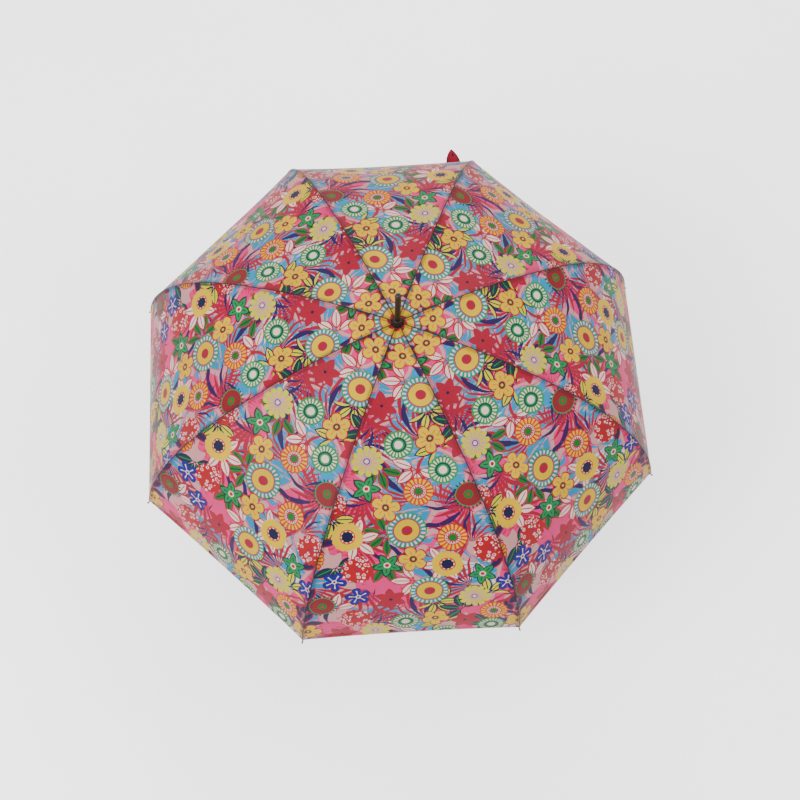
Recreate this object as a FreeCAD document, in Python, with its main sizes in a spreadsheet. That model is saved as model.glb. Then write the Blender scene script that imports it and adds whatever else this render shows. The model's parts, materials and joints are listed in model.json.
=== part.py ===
import FreeCAD, Part
import math
import os

from FreeCAD import Placement, Rotation, Vector

# Stick umbrella with eight ribs, open, canopy upwards, all in millimetres.
# Origin: on the shaft axis, in the middle of the straight part of the grip.
# Ribs lie at 22.5 + 45 k degrees about +Z, so a cloth panel faces each main direction.
# A rib's centre line is two arcs in a vertical plane: the steel channel, flat at the
# crown, then the more strongly bent glass-fibre rod.

doc = FreeCAD.newDocument("umbrella")

# ---------------------------------------------------------------- driving dimensions
SIZES = {
    "rib_count": 8,
    "cut_over": 1.0,
    "bore_play": 0.05,
    "dome_share": 0.8,
    "crown_height": 640.0,
    "pivot_radius": 12.0,
    "inner_bend_radius": 660.0,
    "inner_bend_angle": 25.0,
    "strut_joint_angle": 22.5,
    "outer_bend_radius": 300.0,
    "outer_bend_angle": 55.0,
    "shaft_radius": 5.0,
    "shaft_bore_radius": 4.2,
    "shaft_bottom": -15.0,
    "ferrule_radius": 4.7,
    "ferrule_height": 98.0,
    "spigot_radius": 4.15,
    "spigot_length": 14.0,
    "collar_base_radius": 10.0,
    "collar_top_radius": 6.2,
    "collar_height": 11.0,
    "collar_seat_gap": 0.3,
    "collar_edge_round": 1.0,
    "crown_radius": 17.0,
    "crown_top": 2.0,
    "crown_bottom": 6.5,
    "crown_neck_radius": 8.5,
    "crown_neck_length": 14.0,
    "crown_slot_width": 3.6,
    "crown_slot_start": 9.2,
    "wire_radius": 0.6,
    "channel_width": 3.0,
    "channel_height": 3.2,
    "channel_wall": 0.5,
    "channel_lead": 1.8,
    "channel_tail": 1.3,
    "web_relief": 7.0,
    "eye_radius": 0.8,
    "rivet_radius": 0.8,
    "rivet_hole_radius": 0.85,
    "knuckle_pin_radius": 0.6,
    "knuckle_hole_radius": 0.65,
    "rod_radius": 1.5,
    "rod_start": 3.4,
    "tongue_width": 1.6,
    "tongue_height": 2.6,
    "tongue_overlap": 4.0,
    "tip_radius": 2.1,
    "tip_bore_radius": 1.6,
    "tip_grip": 6.0,
    "tip_shank": 2.5,
    "tip_nose": 9.0,
    "tip_nose_radius": 1.2,
    "tip_bead_radius": 1.5,
    "tip_lean": 35.0,
    "strut_width": 2.6,
    "strut_height": 2.6,
    "strut_groove_width": 1.5,
    "strut_groove_depth": 1.9,
    "strut_groove_start": 6.0,
    "strut_eye_radius": 1.9,
    "rivet_stand": 0.5,
    "strut_pin_length": 5.0,
    "fork_length": 56.0,
    "fork_gap": 3.6,
    "fork_wall": 0.6,
    "fork_height": 3.4,
    "fork_bridge": 6.0,
    "runner_bore_radius": 5.06,
    "runner_sleeve_radius": 9.0,
    "runner_length": 60.0,
    "runner_flange_radius": 17.0,
    "runner_flange_height": 9.0,
    "runner_slot_width": 3.2,
    "runner_slot_start": 9.7,
    "runner_pin_channel": 5.6,
    "runner_pin_channel_length": 2.2,
    "keyway_radius": 8.1,
    "keyway_width": 3.2,
    "runner_groove_radius": 0.6,
    "runner_groove_stand": 0.2,
    "runner_groove_pitch": 6.0,
    "runner_groove_count": 4,
    "shut_rib_angle": 4.0,
    "catch_width": 2.4,
    "catch_height": 22.0,
    "catch_rise": 2.6,
    "catch_root": 1.0,
    "catch_slot_play": 0.3,
    "top_catch_gap": 1.5,
    "stop_gap": 0.3,
    "stop_pin_radius": 1.0,
    "stop_pin_length": 14.0,
    "handle_radius": 11.0,
    "handle_straight": 90.0,
    "crook_radius": 41.0,
    "hook_rise": 24.0,
    "cap_height": 7.0,
    "collar_ring_radius": 11.8,
    "collar_ring_height": 7.0,
    "collar_ring_round": 1.6,
    "cloth_offset": 2.4,
    "cloth_thickness": 0.6,
    "cloth_hole_radius": 6.2,
    "cloth_gap": 0.15,
    "cloth_blank": 600.0,
    "strap_width": 28.0,
    "strap_length": 44.0,
    "strap_thickness": 1.6,
    "strap_inset": 52.0,
    "strap_outset": 1.5,
    "strap_rise": 4.0,
    "strap_tilt": 35.0,
    "snap_radius": 5.0,
    "snap_height": 1.6,
    "snap_share": 0.4,
}


def derived_sizes(given):
    """The sizes that follow from the linkage: strut length, runner drop and joint points."""
    half_joint = math.radians(given["strut_joint_angle"] / 2)
    bend = math.radians(given["inner_bend_angle"])
    link = 2 * given["inner_bend_radius"] * math.sin(half_joint)
    return {
        "strut_length": link,
        "runner_drop": 2 * link * math.sin(half_joint),
        "knuckle_reach": given["inner_bend_radius"] * math.sin(bend),
        "knuckle_drop": given["inner_bend_radius"] * (1 - math.cos(bend)),
    }


SIZES.update(derived_sizes(SIZES))
sheet = doc.addObject("Spreadsheet::Sheet", "dims")
for row, (alias, number) in enumerate(SIZES.items(), start=1):
    sheet.set("A%d" % row, alias)
    sheet.set("B%d" % row, repr(number))
    sheet.setAlias("B%d" % row, alias)
doc.recompute()


def size(alias):
    """The number in a cell of the sheet."""
    return float(sheet.get(alias))


def bind(obj, **expressions):
    """Tie properties to the sheet; words in an expression are its aliases."""
    for prop, expression in expressions.items():
        words = expression.replace("{", "dims.").replace("}", "")
        obj.setExpression(prop.replace("__", "."), words)


# ---------------------------------------------------------------- helpers
UP = Vector(0, 0, 1)
ALONG_Y = Rotation(Vector(1, 0, 0), 90)
ALONG_X = Rotation(Vector(0, 1, 0), 90)
SUBPARTS = []


def new_body(name, placement=None):
    """An empty body, which is one sub-part."""
    body = doc.addObject("PartDesign::Body", name)
    body.Label = name
    body.Placement = placement or Placement()
    SUBPARTS.append(body)
    return body


def shape_in(body, kind, at=("0", "0", "0"), turn=None, **sizes):
    """An additive or subtractive primitive in a body, with its place and sizes bound."""
    feature = body.newObject("PartDesign::" + kind, body.Label + "_" + kind)
    feature.Placement = Placement(Vector(), turn or Rotation())
    places = {"Placement__Base__" + axis: text for axis, text in zip("xyz", at)}
    bind(feature, **places)
    bind(feature, **sizes)
    return feature


def pattern_round_axis(body, feature):
    """Repeat a feature round the body's Z axis, once for each rib."""
    axis = [item for item in body.Origin.OriginFeatures if item.Role == "Z_Axis"][0]
    pattern = body.newObject("PartDesign::PolarPattern", body.Label + "_pattern")
    pattern.Originals = [feature]
    pattern.Axis = (axis, [""])
    pattern.Angle = 360
    bind(pattern, Occurrences="{rib_count}")
    body.Tip = pattern


def rounded(body, radius, wanted):
    """Fillet the edges of the body's tip for which wanted(edge) is true."""
    doc.recompute()
    base = body.Tip
    names = ["Edge%d" % number for number, edge in enumerate(base.Shape.Edges, start=1) if wanted(edge)]
    fillet = body.newObject("PartDesign::Fillet", body.Label + "_fillet")
    fillet.Base = (base, names)
    fillet.Radius = radius
    body.Tip = fillet
    return fillet


def circle_at(edge, level, radius):
    """True for a full circle of this radius at this height in the body's own frame."""
    curve = edge.Curve
    if not isinstance(curve, Part.Circle):
        return False
    return abs(curve.Center.z - level) < 0.01 and abs(curve.Radius - radius) < 0.01


def rib_azimuth(number):
    """Angle of a rib about +Z, in degrees; ribs are numbered from 1."""
    pitch = 360.0 / size("rib_count")
    return pitch / 2 + pitch * (number - 1)


def about_shaft(number, point, tilt=0.0):
    """Placement of a frame in a rib's plane: a point there, tilted downwards by an angle."""
    turn = Rotation(UP, rib_azimuth(number))
    place = turn.multVec(Vector(point[0], 0, size("crown_height") + point[1]))
    return Placement(place, turn.multiply(Rotation(Vector(0, 1, 0), tilt)))


# ---------------------------------------------------------------- shaft, ferrule, crown
def shaft_tube():
    """Steel tube with a slot for each spring catch and a hole for the stop pin."""
    body = new_body("shaft_tube")
    length = "{crown_height} + {crown_top} - {shaft_bottom}"
    bottom = ("0", "0", "{shaft_bottom}")
    shape_in(body, "AdditiveCylinder", bottom, Radius="{shaft_radius}", Height=length)
    shape_in(body, "SubtractiveCylinder", bottom, Radius="{shaft_bore_radius}", Height=length)
    for level in catch_levels():
        shape_in(
            body, "SubtractiveBox",
            ("{shaft_bore_radius} - {cut_over}", "-{catch_width} / 2 - {catch_slot_play}",
             "%.3f - {catch_slot_play}" % level),
            Length="2 * {cut_over} + {shaft_radius} - {shaft_bore_radius}",
            Width="{catch_width} + 2 * {catch_slot_play}",
            Height="{catch_height} + 2 * {catch_slot_play}",
        )
    shape_in(
        body, "SubtractiveCylinder", ("0", "{stop_pin_length} / 2", "%.3f" % stop_level()), ALONG_Y,
        Radius="{stop_pin_radius}", Height="{stop_pin_length}",
    )


def ferrule_shoulder():
    """Height over the crown's top at which the ferrule widens, which is the collar's top."""
    seat = size("cloth_offset") + size("cloth_thickness") + size("collar_seat_gap")
    return seat + size("collar_height") - size("crown_top")


def ferrule():
    """Slim top rod with a domed end; its spigot runs through the collar into the tube."""
    body = new_body("ferrule", Placement(Vector(0, 0, size("crown_height") + size("crown_top")), Rotation()))
    shoulder = "%.3f" % ferrule_shoulder()
    shape_in(
        body, "AdditiveCylinder", ("0", "0", shoulder),
        Radius="{ferrule_radius}", Height="{ferrule_height} - " + shoulder,
    )
    shape_in(
        body, "AdditiveCylinder", ("0", "0", "-{spigot_length}"),
        Radius="{spigot_radius}", Height="{spigot_length} + " + shoulder,
    )
    top = size("ferrule_height")
    dome = size("dome_share") * size("ferrule_radius")
    rounded(body, dome, lambda edge: circle_at(edge, top, size("ferrule_radius")))


def ferrule_collar():
    """Tapered collar that clamps the cloth round the foot of the ferrule."""
    foot = size("crown_height") + size("cloth_offset") + size("cloth_thickness") + size("collar_seat_gap")
    body = new_body("ferrule_collar", Placement(Vector(0, 0, foot), Rotation()))
    shape_in(
        body, "AdditiveCone",
        Radius1="{collar_base_radius}", Radius2="{collar_top_radius}", Height="{collar_height}",
    )
    shape_in(body, "SubtractiveCylinder", Radius="{spigot_radius} + {bore_play}", Height="{collar_height}")
    top = size("collar_height")
    rounded(body, size("collar_edge_round"), lambda edge: circle_at(edge, top, size("collar_top_radius")))


def crown():
    """Slotted disc at the top of the tube, with a groove for the wire that holds the ribs."""
    body = new_body("crown", Placement(Vector(0, 0, size("crown_height")), Rotation()))
    shape_in(
        body, "AdditiveCylinder", ("0", "0", "-{crown_bottom}"),
        Radius="{crown_radius}", Height="{crown_top} + {crown_bottom}",
    )
    shape_in(
        body, "AdditiveCylinder", ("0", "0", "-{crown_neck_length}"),
        Radius="{crown_neck_radius}", Height="{crown_neck_length}",
    )
    shape_in(
        body, "SubtractiveCylinder", ("0", "0", "-{crown_neck_length}"),
        Radius="{shaft_radius}", Height="{crown_neck_length} + {crown_top}",
    )
    shape_in(body, "SubtractiveTorus", Radius1="{pivot_radius}", Radius2="{wire_radius}")
    turn = Rotation(UP, rib_azimuth(1))
    corner = turn.multVec(Vector(size("crown_slot_start"), -size("crown_slot_width") / 2, 0))
    slot = shape_in(
        body, "SubtractiveBox", ("%.5f" % corner.x, "%.5f" % corner.y, "-{crown_bottom} - {cut_over}"), turn,
        Length="{crown_radius}", Width="{crown_slot_width}",
        Height="{crown_top} + {crown_bottom} + 2 * {cut_over}",
    )
    pattern_round_axis(body, slot)


def crown_wire():
    """Wire ring through the eyes of all the ribs."""
    body = new_body("crown_wire", Placement(Vector(0, 0, size("crown_height")), Rotation()))
    shape_in(body, "AdditiveTorus", Radius1="{pivot_radius}", Radius2="{wire_radius}")


def stop_level():
    """Height of the pin that stops the runner, just above it when the umbrella is open."""
    runner_top = size("crown_height") - size("runner_drop") + size("runner_flange_height") / 2
    return runner_top + size("stop_gap") + size("stop_pin_radius")


def stop_pin():
    """Pin across the tube that the runner stops against when the umbrella is open."""
    body = new_body("stop_pin")
    shape_in(
        body, "AdditiveCylinder", ("0", "{stop_pin_length} / 2", "%.3f" % stop_level()), ALONG_Y,
        Radius="{stop_pin_radius}", Height="{stop_pin_length}",
    )


# ---------------------------------------------------------------- runner and catches
def runner():
    """Sliding sleeve with a slotted flange; its keyway passes over the two catches."""
    level = size("crown_height") - size("runner_drop")
    body = new_body("runner", Placement(Vector(0, 0, level), Rotation()))
    flange_foot = ("0", "0", "-{runner_flange_height} / 2")
    sleeve_foot = ("0", "0", "-{runner_length}")
    shape_in(
        body, "AdditiveCylinder", flange_foot,
        Radius="{runner_flange_radius}", Height="{runner_flange_height}",
    )
    shape_in(
        body, "AdditiveCylinder", sleeve_foot,
        Radius="{runner_sleeve_radius}", Height="{runner_length}",
    )
    shape_in(
        body, "SubtractiveCylinder", sleeve_foot,
        Radius="{runner_bore_radius}", Height="{runner_length} + {runner_flange_height}",
    )
    shape_in(
        body, "SubtractiveBox", ("0", "-{keyway_width} / 2", "-{runner_length}"),
        Length="{keyway_radius}", Width="{keyway_width}", Height="{runner_length} + {runner_flange_height}",
    )
    for ring in range(1, int(size("runner_groove_count")) + 1):
        shape_in(
            body, "SubtractiveTorus", ("0", "0", "-{runner_length} + %d * {runner_groove_pitch}" % ring),
            Radius1="{runner_sleeve_radius} + {runner_groove_stand}", Radius2="{runner_groove_radius}",
        )
    turn = Rotation(UP, rib_azimuth(1))
    slot_corner = turn.multVec(Vector(size("runner_slot_start"), -size("runner_slot_width") / 2, 0))
    pin_start = size("pivot_radius") - size("runner_pin_channel_length") / 2
    pin_corner = turn.multVec(Vector(pin_start, -size("runner_pin_channel") / 2, 0))
    through = "{runner_flange_height} + 2 * {cut_over}"
    below = "-{runner_flange_height} / 2 - {cut_over}"
    slot = shape_in(
        body, "SubtractiveBox", ("%.5f" % slot_corner.x, "%.5f" % slot_corner.y, below), turn,
        Length="{runner_flange_radius}", Width="{runner_slot_width}", Height=through,
    )
    pattern_round_axis(body, slot)
    channel = shape_in(
        body, "SubtractiveBox", ("%.5f" % pin_corner.x, "%.5f" % pin_corner.y, below), turn,
        Length="{runner_pin_channel_length}", Width="{runner_pin_channel}", Height=through,
    )
    pattern_round_axis(body, channel)


def closed_runner_drop():
    """How far the runner's pivots lie under the crown's when the umbrella is shut."""
    return 2 * size("strut_length") * math.cos(math.radians(size("shut_rib_angle")))


def catch_levels():
    """Feet of the two catches: under the open runner, and over the shut one."""
    open_level = size("crown_height") - size("runner_drop") - size("runner_length")
    shut_level = size("crown_height") - closed_runner_drop() + size("runner_flange_height") / 2
    gap = size("top_catch_gap")
    return open_level - gap - size("catch_height"), shut_level + gap


def catch(name, foot, upside_down):
    """Sprung wedge that stands out of the tube; its thick end faces the runner."""
    body = new_body(name, Placement(Vector(0, 0, foot), Rotation()))
    thick = "{shaft_radius} + {catch_rise}"
    thin = "{shaft_radius}"
    shape_in(
        body, "AdditiveWedge", turn=ALONG_Y,
        Xmin="{catch_root}", Xmax=thick if upside_down else thin,
        X2min="{catch_root}", X2max=thin if upside_down else thick,
        Ymin="0", Ymax="{catch_height}",
        Zmin="-{catch_width} / 2", Zmax="{catch_width} / 2",
        Z2min="-{catch_width} / 2", Z2max="{catch_width} / 2",
    )


# ---------------------------------------------------------------- ribs and struts
def rib_inner(number):
    """Steel channel, open downwards, bent to an arc; eyes at crown, strut joint and knuckle."""
    radius = size("inner_bend_radius")
    lead = math.degrees(size("channel_lead") / radius)
    tail = math.degrees(size("channel_tail") / radius)
    bend = size("inner_bend_angle")
    centre = (size("pivot_radius"), -radius)
    body = new_body("rib_inner_%d" % number, about_shaft(number, centre))
    # The arc lies in the body's XZ plane, from the pivot above its origin towards +X.
    start = Rotation(Vector(0, 1, 0), -90 - lead).multiply(Rotation(Vector(1, 0, 0), -90))
    angle = "{inner_bend_angle} + %.6f" % (lead + tail)
    half_height = "{channel_height} / 2"
    shape_in(
        body, "AdditiveCylinder", ("0", "-{channel_width} / 2", "0"), start,
        Radius="{inner_bend_radius} + " + half_height, Height="{channel_width}", Angle=angle,
    )
    shape_in(
        body, "SubtractiveCylinder", ("0", "-{channel_width}", "0"), start,
        Radius="{inner_bend_radius} - " + half_height, Height="2 * {channel_width}",
    )
    shape_in(
        body, "SubtractiveCylinder", ("0", "-{channel_width} / 2 + {channel_wall}", "0"), start,
        Radius="{inner_bend_radius} + " + half_height + " - {channel_wall}",
        Height="{channel_width} - 2 * {channel_wall}",
    )
    holes = (
        (0.0, "{eye_radius}"),
        (size("strut_joint_angle"), "{rivet_hole_radius}"),
        (bend, "{knuckle_hole_radius}"),
    )
    for along, hole_radius in holes:
        x = radius * math.sin(math.radians(along))
        z = radius * math.cos(math.radians(along))
        shape_in(
            body, "SubtractiveCylinder", ("%.6f" % x, "{channel_width}", "%.6f" % z), ALONG_Y,
            Radius=hole_radius, Height="2 * {channel_width}",
        )
    # The web is cut away at the knuckle, so that the rod's tongue can turn outwards.
    relief = Rotation(Vector(0, 1, 0), bend)
    corner = relief.multVec(Vector(size("channel_tail") + size("cut_over") - size("web_relief"), 0, radius))
    shape_in(
        body, "SubtractiveBox",
        ("%.6f" % corner.x, "-{channel_width} / 2 + {channel_wall}", "%.6f" % corner.z), relief,
        Length="{web_relief}", Width="{channel_width} - 2 * {channel_wall}", Height="{channel_height}",
    )


def rod_frame(number, beyond):
    """Frame at the rod's centre of curvature, turned so that +Z meets the rod beyond the knuckle."""
    bend = math.radians(size("inner_bend_angle"))
    radius = size("outer_bend_radius")
    knuckle = (size("pivot_radius") + size("knuckle_reach"), -size("knuckle_drop"))
    centre = (knuckle[0] - radius * math.sin(bend), knuckle[1] - radius * math.cos(bend))
    return about_shaft(number, centre, math.degrees(bend + beyond / radius))


def rib_outer(number):
    """Glass-fibre rod, bent to an arc, with a tongue and pin that turn in the channel's end."""
    body = new_body("rib_outer_%d" % number, rod_frame(number, size("rod_start")))
    gap = math.degrees(size("rod_start") / size("outer_bend_radius"))
    start = Rotation(Vector(1, 0, 0), 90).multiply(Rotation(UP, 90))
    torus_turn = Rotation(Vector(0, 1, 0), size("outer_bend_angle") - gap).multiply(start)
    shape_in(
        body, "AdditiveTorus", turn=torus_turn,
        Radius1="{outer_bend_radius}", Radius2="{rod_radius}", Angle3="{outer_bend_angle} - %.6f" % gap,
    )
    lead = size("tongue_height") / 2
    shape_in(
        body, "AdditiveBox",
        ("-{rod_start} - %.3f" % lead, "-{tongue_width} / 2", "{outer_bend_radius} - {tongue_height} / 2"),
        Length="{rod_start} + {tongue_overlap} + %.3f" % lead,
        Width="{tongue_width}", Height="{tongue_height}",
    )
    pin = Rotation(Vector(0, 1, 0), -gap).multVec(Vector(0, 0, size("outer_bend_radius")))
    shape_in(
        body, "AdditiveCylinder", ("%.6f" % pin.x, "{channel_width} / 2", "%.6f" % pin.z), ALONG_Y,
        Radius="{knuckle_pin_radius}", Height="{channel_width}",
    )


def rib_tip(number):
    """Metal cap pressed over the rod's end, with a thin nose that leans out past the hem."""
    along = size("outer_bend_radius") * math.radians(size("outer_bend_angle"))
    frame = rod_frame(number, along)
    end = frame.Rotation.multVec(Vector(0, 0, size("outer_bend_radius")))
    placement = Placement(frame.Base + end, frame.Rotation.multiply(ALONG_X))
    body = new_body("rib_tip_%d" % number, placement)
    grip_foot = ("0", "0", "-{tip_grip}")
    shape_in(body, "AdditiveCylinder", grip_foot, Radius="{tip_radius}", Height="{tip_grip} + {tip_shank}")
    shape_in(body, "SubtractiveCylinder", grip_foot, Radius="{tip_bore_radius}", Height="{tip_grip}")
    shape_in(body, "AdditiveSphere", ("0", "0", "{tip_shank}"), Radius="{tip_radius}")
    lean = Rotation(Vector(0, 1, 0), -size("tip_lean"))
    shape_in(
        body, "AdditiveCylinder", ("0", "0", "{tip_shank}"), lean,
        Radius="{tip_nose_radius}", Height="{tip_nose}",
    )
    bead = lean.multVec(Vector(0, 0, size("tip_nose")))
    shape_in(
        body, "AdditiveSphere", ("%.6f" % bead.x, "0", "{tip_shank} + %.6f" % bead.z),
        Radius="{tip_bead_radius}",
    )


def strut_frame(number):
    """Frame at the runner's pivot, with +X along the strut towards its joint on the rib."""
    rise = size("strut_joint_angle") / 2
    return about_shaft(number, (size("pivot_radius"), -size("runner_drop")), -rise)


def stretcher(number):
    """Grooved strut: a pinned eye in the runner, and a long open fork riveted round the rib."""
    body = new_body("stretcher_%d" % number, strut_frame(number))
    bar_length = "{strut_length} - {fork_length}"
    outer_width = "{fork_gap} + 2 * {fork_wall}"
    shape_in(
        body, "AdditiveBox", ("0", "-{strut_width} / 2", "-{strut_height} / 2"),
        Length=bar_length, Width="{strut_width}", Height="{strut_height}",
    )
    shape_in(
        body, "AdditiveCylinder", ("0", "{strut_width} / 2", "0"), ALONG_Y,
        Radius="{strut_eye_radius}", Height="{strut_width}",
    )
    shape_in(
        body, "AdditiveBox",
        (bar_length + " - {fork_bridge}", "-(%s) / 2" % outer_width, "-{fork_height} / 2"),
        Length="{fork_length} + {fork_bridge}", Width=outer_width, Height="{fork_height}",
    )
    shape_in(
        body, "AdditiveCylinder", ("{strut_length}", "(%s) / 2" % outer_width, "0"), ALONG_Y,
        Radius="{fork_height} / 2", Height=outer_width,
    )
    shape_in(
        body, "SubtractiveBox", (bar_length, "-{fork_gap} / 2", "-{fork_height}"),
        Length="{fork_length} + {fork_height}", Width="{fork_gap}", Height="2 * {fork_height}",
    )
    shape_in(
        body, "SubtractiveBox",
        ("{strut_groove_start}", "-{strut_groove_width} / 2", "{strut_height} / 2 - {strut_groove_depth}"),
        Length=bar_length + " - {strut_groove_start} - {fork_bridge}",
        Width="{strut_groove_width}", Height="{strut_groove_depth}",
    )
    shape_in(
        body, "AdditiveCylinder", ("{strut_length}", "(%s) / 2 + {rivet_stand}" % outer_width, "0"), ALONG_Y,
        Radius="{rivet_radius}", Height=outer_width + " + 2 * {rivet_stand}",
    )
    shape_in(
        body, "AdditiveCylinder", ("0", "{strut_pin_length} / 2", "0"), ALONG_Y,
        Radius="{rivet_radius}", Height="{strut_pin_length}",
    )


# ---------------------------------------------------------------- handle
def handle():
    """Crook handle: straight grip, half circle and a short upright end."""
    body = new_body("handle")
    top = "{handle_straight} / 2"
    shape_in(
        body, "AdditiveCylinder", ("0", "0", "-" + top),
        Radius="{handle_radius}", Height="{handle_straight}",
    )
    half_circle = Rotation(Vector(1, 0, 0), -90)
    shape_in(
        body, "AdditiveTorus", ("{crook_radius}", "0", "-" + top), half_circle,
        Radius1="{crook_radius}", Radius2="{handle_radius}", Angle3="180",
    )
    shape_in(
        body, "AdditiveCylinder", ("2 * {crook_radius}", "0", "-" + top),
        Radius="{handle_radius}", Height="{hook_rise}",
    )
    shape_in(
        body, "SubtractiveCylinder", ("0", "0", "{shaft_bottom}"),
        Radius="{shaft_radius}", Height=top + " - {shaft_bottom}",
    )


def handle_collar():
    """Metal ring between the grip and the tube."""
    body = new_body("handle_collar", Placement(Vector(0, 0, size("handle_straight") / 2), Rotation()))
    shape_in(body, "AdditiveCylinder", Radius="{collar_ring_radius}", Height="{collar_ring_height}")
    bore = "{shaft_radius} + {bore_play}"
    shape_in(body, "SubtractiveCylinder", Radius=bore, Height="{collar_ring_height}")
    top = size("collar_ring_height")
    rounded(body, size("collar_ring_round"), lambda edge: circle_at(edge, top, size("collar_ring_radius")))


def handle_cap():
    """Metal cap on the open end of the crook."""
    foot = size("hook_rise") - size("handle_straight") / 2
    body = new_body("handle_cap", Placement(Vector(2 * size("crook_radius"), 0, foot), Rotation()))
    shape_in(body, "AdditiveCylinder", Radius="{handle_radius}", Height="{cap_height}")
    top = size("cap_height")
    dome = size("dome_share") * size("cap_height")
    rounded(body, dome, lambda edge: circle_at(edge, top, size("handle_radius")))


# ---------------------------------------------------------------- cloth
def arc_edges(outline_radius, offset):
    """Edges of the mid-panel line at an offset from the ribs, from the hole to the hem."""
    squeeze = math.cos(math.pi / size("rib_count"))
    bend = size("inner_bend_angle")
    inner = (size("pivot_radius"), -size("inner_bend_radius"), size("inner_bend_radius"))
    knuckle_radius = size("inner_bend_radius") - size("outer_bend_radius")
    outer = (
        inner[0] + knuckle_radius * math.sin(math.radians(bend)),
        inner[1] + knuckle_radius * math.cos(math.radians(bend)),
        size("outer_bend_radius"),
    )

    def point(arc, slope):
        reach = arc[2] + offset
        across = arc[0] + reach * math.sin(math.radians(slope))
        return Vector(squeeze * across, 0, arc[1] + reach * math.cos(math.radians(slope)))

    start = Vector(outline_radius, 0, offset)
    top = point(inner, 0)
    last = bend + size("outer_bend_angle")
    first_arc = Part.Arc(top, point(inner, bend / 2), point(inner, bend))
    second_arc = Part.Arc(point(inner, bend), point(outer, (bend + last) / 2), point(outer, last))
    return [Part.LineSegment(start, top).toShape(), first_arc.toShape(), second_arc.toShape()]


def canopy_panel(number):
    """One cloth panel, between two ribs: straight across, curved from crown to hem."""
    under = arc_edges(size("cloth_hole_radius"), size("cloth_offset"))
    over = arc_edges(size("cloth_hole_radius"), size("cloth_offset") + size("cloth_thickness"))
    first = Part.LineSegment(under[0].Vertexes[0].Point, over[0].Vertexes[0].Point).toShape()
    last = Part.LineSegment(under[-1].Vertexes[-1].Point, over[-1].Vertexes[-1].Point).toShape()
    outline = Part.Face(Part.Wire(Part.__sortEdges__(under + over + [first, last])))
    half_pitch = math.pi / size("rib_count")
    reach = size("cloth_blank")
    half_width = reach * math.tan(half_pitch)
    sheet_solid = outline.extrude(Vector(0, 2 * half_width, 0))
    sheet_solid.translate(Vector(0, -half_width, 0))
    apex = size("cloth_gap") / math.sin(half_pitch)
    corners = [
        Vector(apex, 0, -reach),
        Vector(apex + reach, -half_width, -reach),
        Vector(apex + reach, half_width, -reach),
    ]
    wedge = Part.Face(Part.makePolygon(corners + corners[:1])).extrude(Vector(0, 0, 2 * reach))
    feature = doc.addObject("Part::Feature", "canopy_panel_%d" % number)
    feature.Label = "canopy_panel_%d" % number
    feature.Shape = sheet_solid.common(wedge).Solids[0]
    middle = rib_azimuth(number) + math.degrees(half_pitch)
    feature.Placement = Placement(Vector(0, 0, size("crown_height")), Rotation(UP, middle))
    SUBPARTS.append(feature)


def strap_frame():
    """Frame on the hem beside rib 2, on the +Y panel, tilted up and outwards."""
    bend = math.radians(size("inner_bend_angle"))
    last = bend + math.radians(size("outer_bend_angle"))
    reach = size("outer_bend_radius") * (math.sin(last) - math.sin(bend))
    drop = size("outer_bend_radius") * (math.cos(bend) - math.cos(last))
    across = size("pivot_radius") + size("knuckle_reach") + reach + size("cloth_offset")
    pitch = math.pi / size("rib_count")
    level = size("crown_height") - size("knuckle_drop") - drop
    place = Vector(
        across * math.sin(pitch) - size("strap_inset"),
        across * math.cos(pitch) + size("strap_outset"),
        level + size("strap_rise"),
    )
    return Placement(place, Rotation(Vector(1, 0, 0), size("strap_tilt")))


def tie_strap():
    """Folded tie strap sewn to the hem, standing out from it."""
    body = new_body("tie_strap", strap_frame())
    shape_in(
        body, "AdditiveBox",
        Length="{strap_width}", Width="{strap_length}", Height="{strap_thickness}",
    )


def strap_snap():
    """Press stud under the tie strap."""
    body = new_body("strap_snap", strap_frame())
    shape_in(
        body, "AdditiveCylinder", ("{strap_width} / 2", "{strap_length} * {snap_share}", "-{snap_height}"),
        Radius="{snap_radius}", Height="{snap_height}",
    )


# ---------------------------------------------------------------- build, check, write
shaft_tube()
ferrule()
ferrule_collar()
crown()
crown_wire()
stop_pin()
runner()
top_foot, bottom_foot = catch_levels()
catch("top_catch", top_foot, False)
catch("bottom_catch", bottom_foot, True)
handle()
handle_collar()
handle_cap()
tie_strap()
strap_snap()
for rib in range(1, int(size("rib_count")) + 1):
    rib_inner(rib)
    rib_outer(rib)
    rib_tip(rib)
    stretcher(rib)
    canopy_panel(rib)
doc.recompute()

for item in doc.Objects:
    if "Invalid" in item.State or "Error" in item.State:
        raise RuntimeError("%s did not recompute: %s" % (item.Label, item.State))
os.makedirs("parts", exist_ok=True)
for item in SUBPARTS:
    if item.Shape.isNull() or not item.Shape.isValid() or not item.Shape.Solids:
        raise RuntimeError("%s has no valid solid" % item.Label)
    item.Shape.exportStep("parts/%s.step" % item.Label)
    if item.Label[-1] not in "2345678":
        print(item.Label, "solids", len(item.Shape.Solids), "volume %.1f" % item.Shape.Volume)
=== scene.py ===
import json
import math
import random

import bpy
import numpy as np
from mathutils import Euler, Matrix, Vector


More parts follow.
